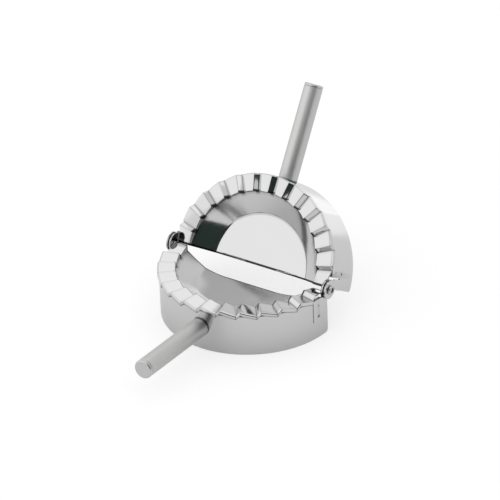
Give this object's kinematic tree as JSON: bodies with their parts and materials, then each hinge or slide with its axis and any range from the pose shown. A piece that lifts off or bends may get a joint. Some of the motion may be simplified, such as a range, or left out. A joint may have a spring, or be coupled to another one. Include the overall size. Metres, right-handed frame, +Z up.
{
  "type": "ravioli mold",
  "caption": "Hand-held steel ravioli mold: half-round jaws with crimped rims and a shared dish, on half-round skirts, folding together about a riveted hinge, each with a tube handle.",
  "frame": {"origin": "middle of the front skirt's foot, on the surface it stands on, below the front handle", "axes": "+Z up, away from the foot; +X along the hinge axis, to the right seen from the front handle; +Y from the front handle towards the rear jaw"},
  "size_m": [0.1046, 0.176, 0.1066],
  "materials": {
    "polished_die": "mirror polished",
    "polished_skirt": "polished",
    "plain_steel": "plain rolled sheet",
    "satin_tube": "satin, brushed along the tube",
    "satin_cap": "satin",
    "screw_steel": "turned",
    "rivet_steel": "polished"
  },
  "bodies": {
    "front_jaw": {"front_die": "polished_die", "front_skirt": "polished_skirt", "front_weld_plate_left": "plain_steel", "front_weld_plate_right": "plain_steel", "front_handle_tube": "satin_tube", "front_handle_cap": "satin_cap", "front_handle_insert": "plain_steel", "front_handle_washer": "plain_steel", "front_handle_screw": "screw_steel", "hinge_rivets": "rivet_steel"},
    "rear_jaw": {"rear_die": "polished_die", "rear_skirt": "polished_skirt", "rear_weld_plate_left": "plain_steel", "rear_weld_plate_right": "plain_steel", "rear_handle_tube": "satin_tube", "rear_handle_cap": "satin_cap", "rear_handle_insert": "plain_steel", "rear_handle_washer": "plain_steel", "rear_handle_screw": "screw_steel"}
  },
  "joints": [
    {"name": "hinge", "type": "hinge", "parent": "front_jaw", "child": "rear_jaw", "pos_m": [0, 0.0486, 0.0259], "axis": [1, 0, 0], "range_deg": [-57.1, 122.9]}
  ]
}
